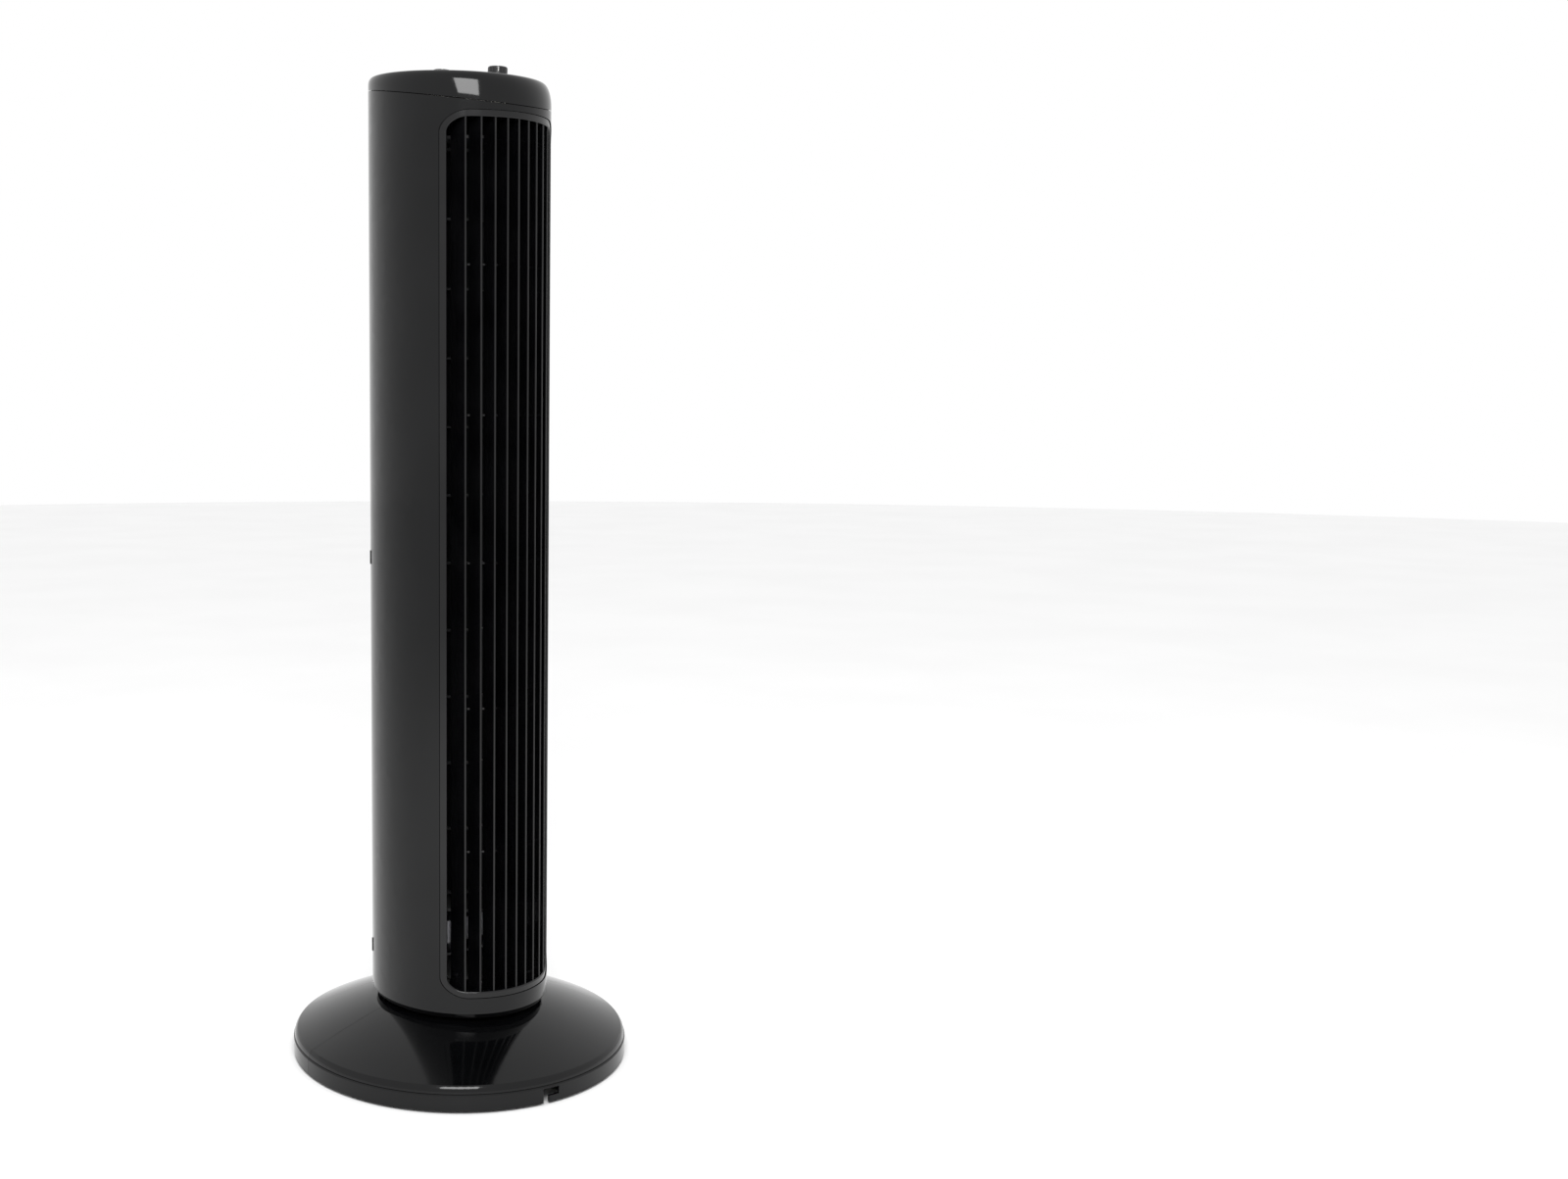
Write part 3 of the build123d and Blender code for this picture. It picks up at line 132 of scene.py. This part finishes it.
class Shader:
    """A Principled material with helpers for colour, roughness and bump."""

    def __init__(self, name, metallic=0.0, ior=PLAIN_IOR):
        self.material = bpy.data.materials.new(name)
        self.material.use_nodes = True
        self.nodes = self.material.node_tree.nodes
        self.links = self.material.node_tree.links
        self.bsdf = self.nodes["Principled BSDF"]
        self.bsdf.inputs["Metallic"].default_value = metallic
        self.bsdf.inputs["IOR"].default_value = ior
        self.place = self.nodes.new("ShaderNodeTexCoord").outputs["Object"]

    def mapped(self, stretch):
        """The piece's own coordinates, stretched."""
        node = self.nodes.new("ShaderNodeMapping")
        node.inputs["Scale"].default_value = stretch
        self.links.new(self.place, node.inputs["Vector"])
        return node.outputs["Vector"]

    def noise(self, scale, detail=3.0, stretch=(1, 1, 1)):
        """Noise with that many features to the metre."""
        node = self.nodes.new("ShaderNodeTexNoise")
        node.inputs["Scale"].default_value = scale
        node.inputs["Detail"].default_value = detail
        self.links.new(self.mapped(stretch), node.inputs["Vector"])
        return node.outputs["Fac"]

    def bands(self, scale, direction, distortion=0.0):
        """Stripes across one axis."""
        node = self.nodes.new("ShaderNodeTexWave")
        node.wave_type = "BANDS"
        node.bands_direction = direction
        node.inputs["Scale"].default_value = scale
        node.inputs["Distortion"].default_value = distortion
        self.links.new(self.place, node.inputs["Vector"])
        return node.outputs["Fac"]

    def colours(self, value, low, high, start=0.35, end=0.65):
        """Base colour running from low to high as the value goes from start to end."""
        ramp = self.nodes.new("ShaderNodeValToRGB")
        ramp.color_ramp.elements[0].position = start
        ramp.color_ramp.elements[0].color = (*low, 1.0)
        ramp.color_ramp.elements[1].position = end
        ramp.color_ramp.elements[1].color = (*high, 1.0)
        self.links.new(value, ramp.inputs["Fac"])
        self.links.new(ramp.outputs["Color"], self.bsdf.inputs["Base Color"])

    def roughness(self, value, low, high):
        """Roughness running from low to high with the value."""
        spread = self.nodes.new("ShaderNodeMapRange")
        spread.inputs["To Min"].default_value = low
        spread.inputs["To Max"].default_value = high
        self.links.new(value, spread.inputs["Value"])
        self.links.new(spread.outputs["Result"], self.bsdf.inputs["Roughness"])

    def bump(self, value, depth, strength=1.0):
        """Fine relief of that depth in metres."""
        node = self.nodes.new("ShaderNodeBump")
        node.inputs["Distance"].default_value = depth
        node.inputs["Strength"].default_value = strength
        self.links.new(value, node.inputs["Height"])
        self.links.new(node.outputs["Normal"], self.bsdf.inputs["Normal"])


def gloss_black():
    """Polished moulded ABS: near-black, with a faint unevenness in its shine."""
    shader = Shader("gloss_black", ior=GLOSS_IOR)
    shader.colours(shader.noise(14.0, 4.0), (0.0008, 0.0009, 0.0011), (0.0018, 0.0019, 0.0022))
    shader.roughness(shader.noise(46.0, 5.0), 0.045, 0.12)
    shader.bump(shader.noise(900.0, 2.0), 0.000008, 0.35)
    return shader.material


def grille_black():
    """The same plastic drawn along the blades, a little less polished."""
    shader = Shader("grille_black", ior=GRILLE_IOR)
    shader.colours(shader.noise(30.0, 3.0), (0.001, 0.001, 0.0013), (0.0024, 0.0024, 0.0028))
    shader.roughness(shader.noise(180.0, 4.0, (1, 1, 0.06)), 0.08, 0.17)
    shader.bump(shader.noise(1400.0, 2.0, (1, 1, 0.1)), 0.00001, 0.3)
    return shader.material


def control_black():
    """Satin plastic of the knobs and the button."""
    shader = Shader("control_black", ior=CONTROL_IOR)
    shader.colours(shader.noise(120.0, 3.0), (0.006, 0.006, 0.0065), (0.012, 0.012, 0.013))
    shader.roughness(shader.noise(400.0, 3.0), 0.22, 0.34)
    shader.bump(shader.noise(3200.0, 2.0), 0.00002, 0.5)
    return shader.material


def moulded(name, low, high, rough, grain):
    """Matt moulded plastic or rubber with a fine spark-eroded grain."""
    shader = Shader(name)
    shader.colours(shader.noise(40.0, 4.0), low, high)
    shader.roughness(shader.noise(260.0, 3.0), rough, rough + 0.14)
    shader.bump(shader.noise(grain, 3.0), 0.00004, 0.6)
    return shader.material


def steel(name, low, high, rough, stretch):
    """Drawn or ground steel: the noise is stretched along the working direction."""
    shader = Shader(name, metallic=1.0)
    shader.colours(shader.noise(300.0, 4.0, stretch), low, high)
    shader.roughness(shader.noise(700.0, 3.0, stretch), rough, rough + 0.16)
    shader.bump(shader.noise(2200.0, 2.0, stretch), 0.000012, 0.5)
    return shader.material


def banded(name, metallic, scale, direction, low, high, rough, depth):
    """Stacked sheets, or tape and windings, as fine bands across the piece."""
    shader = Shader(name, metallic=metallic)
    lines = shader.bands(scale, direction, 0.4)
    shader.colours(lines, low, high, 0.1, 0.9)
    shader.roughness(shader.noise(300.0, 3.0), rough, rough + 0.15)
    shader.bump(lines, depth, 0.6)
    return shader.material


def printed_white():
    """Pad-printed legend ink."""
    shader = Shader("printed_white")
    shader.colours(shader.noise(900.0, 3.0), (0.62, 0.62, 0.6), (0.78, 0.78, 0.76))
    shader.roughness(shader.noise(900.0, 3.0), 0.38, 0.52)
    shader.bump(shader.noise(4000.0, 2.0), 0.00001, 0.4)
    return shader.material


def floor_paper():
    """Pale matt paper."""
    shader = Shader("floor_paper")
    shader.colours(shader.noise(2.5, 4.0), (0.9, 0.9, 0.9), (0.92, 0.92, 0.92))
    shader.roughness(shader.noise(20.0, 3.0), 0.75, 0.9)
    return shader.material


def make_materials():
    """Every finish by name: the record's slots, the grille's own and the printing ink."""
    return {
        "gloss_black": gloss_black(),
        "grille_black": grille_black(),
        "control_black": control_black(),
        "inner_black": moulded("inner_black", (0.006,) * 3, (0.013,) * 3, 0.5, 1500.0),
        "drum_plastic": moulded(
            "drum_plastic", (0.007, 0.007, 0.008), (0.014, 0.014, 0.015), 0.3, 1100.0
        ),
        "white_plastic": moulded(
            "white_plastic", (0.6, 0.59, 0.54), (0.74, 0.73, 0.68), 0.42, 1300.0
        ),
        "rubber": moulded("rubber", (0.008, 0.008, 0.008), (0.018, 0.018, 0.017), 0.66, 2400.0),
        "wire_sleeve": moulded(
            "wire_sleeve", (0.012, 0.012, 0.012), (0.024, 0.024, 0.023), 0.4, 700.0
        ),
        "screw_steel": steel(
            "screw_steel", (0.1, 0.1, 0.105), (0.2, 0.2, 0.205), 0.28, (1, 1, 0.3)
        ),
        "steel": steel("steel", (0.42, 0.42, 0.43), (0.6, 0.6, 0.61), 0.22, (0.15, 1, 1)),
        "bronze": steel("bronze", (0.42, 0.27, 0.12), (0.6, 0.42, 0.2), 0.3, (1, 1, 1)),
        "laminations": banded(
            "laminations", 1.0, 300.0, "Z", (0.12, 0.12, 0.13), (0.34, 0.34, 0.36), 0.36, 0.00008
        ),
        "coil_wrap": banded(
            "coil_wrap", 0.0, 110.0, "Z", (0.5, 0.27, 0.04), (0.72, 0.44, 0.09), 0.3, 0.00012
        ),
        "printed_white": printed_white(),
    }


def dress_nodes(materials):
    """Every CAD node gets its record slot's finish; the grille has one of its own."""
    slots = {part["node"]: part["material_slot"] for part in frame["record"]["subparts"]}
    for name, node in frame["nodes"].items():
        finish_name = "grille_black" if name == "front_grille" else slots[name]
        if not node.material_slots:
            node.data.materials.append(None)
        for place in node.material_slots:
            place.material = materials[finish_name]


# ------------------------------------------------------------------ cap
TOWER_X = 75.7
TOWER_Y = 84.4
SEAM_Z = 841.0
SEAM_TILT = radians(10.5)
SEAM_GAP = 0.6
CAP_TOP = 860.2
CAP_TILT = radians(4.5)
CROWN_DROP = 3.9  # how much lower the crown is at the rim than at its middle
CAP_WALL = 2.2
CAP_COLUMNS = 192
SHOULDER_DEPTH = 2.4  # how far in the shoulder reaches at the back
SHOULDER_FRONT = 6.2  # how much further at the front
SHOULDER_SHARE = 0.5  # share of the side's height that the shoulder takes, at the back
SHOULDER_SHARE_FRONT = 0.42  # how much more at the front
SHOULDER_STEPS = 14
CROWN_RINGS = 10
CRISP_ANGLE = 32.0  # degrees
FRONT_KNOB_Y = -53.0
REAR_KNOB_Y = 25.5
BUTTON_Y = -14.0
CONTROL_HOLE = 4.0
BUTTON_HOLE = 5.3
CUTTER_LENGTH = 0.03  # metres
CUTTER_SIDES = 48
KNOB_RADIUS = 8.4
KNOB_LIFT = 0.8
KNOB_TAPER = radians(2.0)
CONTROL_AXIS = Vector((0.0, -sin(CAP_TILT), cos(CAP_TILT)))


def crown_height(x, y):
    """The crown's height in millimetres above a point of the oval."""
    crown = (y / TOWER_Y) ** 2 + (x / TOWER_X) ** 2
    return CAP_TOP + y * tan(CAP_TILT) - CROWN_DROP * crown


def oval(angle, inset):
    """Point on the oval; angle 0 is the front, inset is measured inwards."""
    reach = sqrt((TOWER_Y * cos(angle)) ** 2 + (TOWER_X * sin(angle)) ** 2)
    share = 1.0 - inset / reach
    return TOWER_X * share * sin(angle), -TOWER_Y * share * cos(angle)


def cap_ring(angle, shell):
    """One side's profile from the seam up over the shoulder; shell insets it."""
    front = (1.0 + cos(angle)) / 2.0
    depth = SHOULDER_DEPTH + SHOULDER_FRONT * front**2
    x, y = oval(angle, shell)
    foot = SEAM_Z + y * tan(SEAM_TILT) + SEAM_GAP / 2 / cos(SEAM_TILT)
    share = SHOULDER_SHARE + SHOULDER_SHARE_FRONT * front
    shoulder = (crown_height(x, y) - foot) * share
    points = [(x, y, foot)]
    for step in range(SHOULDER_STEPS + 1):
        swing = pi / 2 * step / SHOULDER_STEPS
        x, y = oval(angle, shell + depth * (1.0 - cos(swing)))
        points.append((x, y, crown_height(x, y) - shell - shoulder * (1.0 - sin(swing))))
    for ring in range(1, CROWN_RINGS):
        left = 1.0 - ring / CROWN_RINGS
        points.append((x * left, y * left, crown_height(x * left, y * left) - shell))
    return points


def control_point(y):
    """Point in metres on the crown, on the controls' line at that y."""
    return Vector((0.0, y, crown_height(0.0, y))) * MM


def make_cap(material):
    """Sloping cap with a soft shoulder that is wide at the front and tight behind."""
    mesh = bmesh.new()
    layers = []
    for shell in (0.0, CAP_WALL):
        grid = []
        for column in range(CAP_COLUMNS):
            ring = cap_ring(2 * pi * column / CAP_COLUMNS, shell)
            grid.append([mesh.verts.new(Vector(point) * MM) for point in ring])
        crown = mesh.verts.new(Vector((0, 0, crown_height(0, 0) - shell)) * MM)
        layers.append((grid, crown))
    for grid, crown in layers:
        for column in range(CAP_COLUMNS):
            here, there = grid[column], grid[(column + 1) % CAP_COLUMNS]
            for row in range(len(here) - 1):
                mesh.faces.new((here[row], there[row], there[row + 1], here[row + 1]))
            mesh.faces.new((here[-1], there[-1], crown))
    # the lower edge joins the outer and inner layers
    outer, inner = layers[0][0], layers[1][0]
    for column in range(CAP_COLUMNS):
        after = (column + 1) % CAP_COLUMNS
        mesh.faces.new((outer[column][0], inner[column][0], inner[after][0], outer[after][0]))
    bmesh.ops.recalc_face_normals(mesh, faces=mesh.faces)
    cap = link_mesh("cap_shell", mesh)
    holes = ((FRONT_KNOB_Y, CONTROL_HOLE), (REAR_KNOB_Y, CONTROL_HOLE), (BUTTON_Y, BUTTON_HOLE))
    for y, radius in holes:
        cut_hole(cap, control_point(y), radius * MM)
    smooth(cap, CRISP_ANGLE)
    cap.data.materials.append(material)
    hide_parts("top_cap")
    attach(cap, "tower")


def cut_hole(target, centre, radius):
    """Cuts a round hole along the controls' axis and applies it."""
    mesh = bmesh.new()
    bmesh.ops.create_cone(
        mesh,
        cap_ends=True,
        segments=CUTTER_SIDES,
        radius1=radius,
        radius2=radius,
        depth=CUTTER_LENGTH,
    )
    cutter = link_mesh("hole_cutter", mesh)
    cutter.matrix_world = Matrix.Translation(centre) @ Matrix.Rotation(CAP_TILT, 4, "X")
    bpy.context.view_layer.update()
    modifier = target.modifiers.new("hole", "BOOLEAN")
    modifier.operation = "DIFFERENCE"
    modifier.solver = "EXACT"
    modifier.object = cutter
    apply_modifiers(target)
    cutter_mesh = cutter.data
    bpy.data.objects.remove(cutter)
    bpy.data.meshes.remove(cutter_mesh)


def apply_modifiers(target):
    """Replaces the object's mesh with the one that its modifiers give."""
    evaluated = target.evaluated_get(bpy.context.evaluated_depsgraph_get())
    data = bpy.data.meshes.new_from_object(evaluated)
    target.modifiers.clear()
    old = target.data
    target.data = data
    bpy.data.meshes.remove(old)


def smooth(target, angle):
    """Smooth shading, with edges sharper than the angle kept crisp."""
    for face in target.data.polygons:
        face.use_smooth = True
    target.data.set_sharp_from_angle(angle=radians(angle))


# ------------------------------------------------------------------ legends
INK = 0.12  # print thickness, millimetres
REST_MARK = -radians(VIEW_AZIMUTH)  # direction of the knobs' off marks
TICK_START = 9.6  # from the knob's axis
TICK_WIDTH = 0.7
DIGIT_RESOLUTION = 3
SPEED_MARKS = 4
SPEED_STEP = 45.0  # degrees
SPEED_TICK_END = 11.8
SPEED_DIGITS = (14.2, 3.6)  # distance from the axis and size
TIMER_MARKS = 21
TIMER_STEP = 15.0  # degrees
TIMER_MAJOR = 5  # every fifth mark is long and numbered
TIMER_MINUTES = 6  # minutes from one mark to the next
TIMER_TICK_END = 12.2
MINOR_TICK_END = 11.0
MINOR_TICK_WIDTH = 0.4
TIMER_DIGITS = (15.0, 3.2)
SWING_STEPS = 9
SWING_START = 58.0  # degrees
SWING_STEP = 8.0
SWING_ARC = (7.4, 7.9, 1.15)  # inner and outer radius, and the length of one short piece
POINTER_START = 1.2  # from the knob's axis
POINTER_ROUND = 1.6  # radius over the knob's edge
POINTER_BEND_STEPS = 6
POINTER_HALF_WIDTH = 0.75
POINTER_SUNK = 0.7  # into the knob
POINTER_INSET = 0.15  # from the knob's side
POINTER_END_INSET = 0.2
POINTER_END = 1.5  # above the knob's lower edge


def print_on(body, name, mesh, material):
    """A printed piece that moves with a body."""
    piece = link_mesh(name, mesh)
    piece.data.materials.append(material)
    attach(piece, body)


def add_patch(mesh, low, high):
    """A thin closed plate between two outlines of equal length."""
    bottom = [mesh.verts.new(point) for point in low]
    top = [mesh.verts.new(point) for point in high]
    mesh.faces.new(list(reversed(bottom)))
    mesh.faces.new(top)
    for index in range(len(top)):
        after = (index + 1) % len(top)
        mesh.faces.new((bottom[index], bottom[after], top[after], top[index]))


def on_crown(x, y, lift):
    """Point in metres, lifted off the crown."""
    return Vector((x, y, crown_height(x, y) + lift)) * MM


def add_tick(mesh, centre_y, angle, inner, outer, width):
    """A radial scale mark printed on the crown round a knob."""
    outward = (sin(angle), -cos(angle))
    across = (cos(angle), sin(angle))
    low, high = [], []
    for reach, side in ((inner, -1), (outer, -1), (outer, 1), (inner, 1)):
        x = outward[0] * reach + across[0] * side * width / 2
        y = centre_y + outward[1] * reach + across[1] * side * width / 2
        low.append(on_crown(x, y, 0.0))
        high.append(on_crown(x, y, INK))
    add_patch(mesh, low, high)


def add_number(mesh, text, centre_y, angle, reach, size):
    """A number printed on the crown, upright as seen from the front."""
    curve = bpy.data.curves.new("number", "FONT")
    curve.body = text
    curve.size = size
    curve.align_x = "CENTER"
    curve.align_y = "CENTER"
    curve.extrude = INK / 2
    curve.resolution_u = DIGIT_RESOLUTION
    letter = bpy.data.objects.new("number", curve)
    bpy.context.scene.collection.objects.link(letter)
    bpy.context.view_layer.update()
    shape = letter.evaluated_get(bpy.context.evaluated_depsgraph_get()).to_mesh()
    shift_x = sin(angle) * reach
    shift_y = centre_y - cos(angle) * reach
    start = len(mesh.verts)
    mesh.from_mesh(shape)
    mesh.verts.ensure_lookup_table()
    for vertex in mesh.verts[start:]:
        x, y, lift = vertex.co.x + shift_x, vertex.co.y + shift_y, vertex.co.z + INK / 2
        vertex.co = on_crown(x, y, lift)
    letter.to_mesh_clear()
    bpy.data.objects.remove(letter)
    bpy.data.curves.remove(curve)


def make_speed_scale(material):
    """Speeds 0 to 3 round the front knob."""
    mesh = bmesh.new()
    for step in range(SPEED_MARKS):
        angle = REST_MARK + radians(SPEED_STEP * step)
        add_tick(mesh, FRONT_KNOB_Y, angle, TICK_START, SPEED_TICK_END, TICK_WIDTH)
        add_number(mesh, str(step), FRONT_KNOB_Y, angle, *SPEED_DIGITS)
    print_on("tower", "speed_scale", mesh, material)


def make_timer_scale(material):
    """Minutes round the rear knob, with short marks between the numbered ones."""
    mesh = bmesh.new()
    for step in range(TIMER_MARKS):
        angle = REST_MARK + radians(TIMER_STEP * step)
        if step % TIMER_MAJOR == 0:
            add_tick(mesh, REAR_KNOB_Y, angle, TICK_START, TIMER_TICK_END, TICK_WIDTH)
            add_number(mesh, str(step * TIMER_MINUTES), REAR_KNOB_Y, angle, *TIMER_DIGITS)
        else:
            add_tick(mesh, REAR_KNOB_Y, angle, TICK_START, MINOR_TICK_END, MINOR_TICK_WIDTH)
    print_on("tower", "timer_scale", mesh, material)


def make_swing_mark(material):
    """Two arcs, one each side of the push button, made of short pieces."""
    mesh = bmesh.new()
    for half in (0, 1):
        for step in range(SWING_STEPS):
            angle = radians(half * 180.0 + SWING_START + SWING_STEP * step)
            add_tick(mesh, BUTTON_Y, angle, *SWING_ARC)
    print_on("tower", "swing_mark", mesh, material)


def make_pointer(name, body, node, knob_y, material):
    """White index line over a knob's top and down its side, towards the rest mark."""
    base = control_point(knob_y)
    vertices = frame["nodes"][node].data.vertices
    top = max((vertex.co - base).dot(CONTROL_AXIS) for vertex in vertices) / MM
    outward = Vector((sin(REST_MARK), -cos(REST_MARK), 0.0))
    outward = (outward - CONTROL_AXIS * outward.dot(CONTROL_AXIS)).normalized()
    across = CONTROL_AXIS.cross(outward)
    side = KNOB_RADIUS - POINTER_INSET - (top - KNOB_LIFT) * tan(KNOB_TAPER)
    profile = [(POINTER_START, top)]
    for step in range(POINTER_BEND_STEPS + 1):
        turn = pi / 2 / POINTER_BEND_STEPS * step
        reach = side - POINTER_ROUND + POINTER_ROUND * sin(turn)
        height = top - POINTER_ROUND + POINTER_ROUND * cos(turn)
        profile.append((reach, height))
    profile.append((KNOB_RADIUS - POINTER_END_INSET, KNOB_LIFT + POINTER_END))
    mesh = bmesh.new()
    rows = []
    for index, (reach, height) in enumerate(profile):
        before = Vector(profile[max(index - 1, 0)])
        after = Vector(profile[min(index + 1, len(profile) - 1)])
        along = (after - before).normalized()
        normal = outward * -along.y + CONTROL_AXIS * along.x
        spot = base + (outward * reach + CONTROL_AXIS * height) * MM
        row = []
        for edge in (-POINTER_HALF_WIDTH, POINTER_HALF_WIDTH):
            for lift in (-POINTER_SUNK, INK):
                row.append(mesh.verts.new(spot + (across * edge + normal * lift) * MM))
        rows.append(row)
    for here, there in zip(rows, rows[1:]):
        for first, second in ((0, 1), (1, 3), (3, 2), (2, 0)):
            mesh.faces.new((here[first], here[second], there[second], there[first]))
    for row, order in ((rows[0], (0, 2, 3, 1)), (rows[-1], (0, 1, 3, 2))):
        mesh.faces.new([row[index] for index in order])
    bmesh.ops.recalc_face_normals(mesh, faces=mesh.faces)
    print_on(body, name, mesh, material)


# ------------------------------------------------------------------ floor
def make_floor(material):
    """Wide round floor for the fan to stand on."""
    mesh = bmesh.new()
    bmesh.ops.create_circle(mesh, cap_ends=True, segments=FLOOR_SIDES, radius=FLOOR_RADIUS)
    floor = link_mesh("floor", mesh)
    floor.data.materials.append(material)


# ------------------------------------------------------------------ scene
bpy.context.scene.view_settings.view_transform = "Standard"
make_camera()
make_world()
make_softbox(
    "key_softbox",
    studio_point(0.0, SOFTBOX_AWAY, SOFTBOX_HEIGHT),
    SOFTBOX_TARGET,
    SOFTBOX_WIDTH,
    SOFTBOX_LENGTH,
    SOFTBOX_RADIANCE,
)
finishes = make_materials()
dress_nodes(finishes)
make_cap(finishes["gloss_black"])
ink = finishes["printed_white"]
make_speed_scale(ink)
make_timer_scale(ink)
make_swing_mark(ink)
make_pointer("speed_pointer", "speed_control", "speed_knob", FRONT_KNOB_Y, ink)
make_pointer("timer_pointer", "timer_control", "timer_knob", REAR_KNOB_Y, ink)
make_floor(floor_paper())
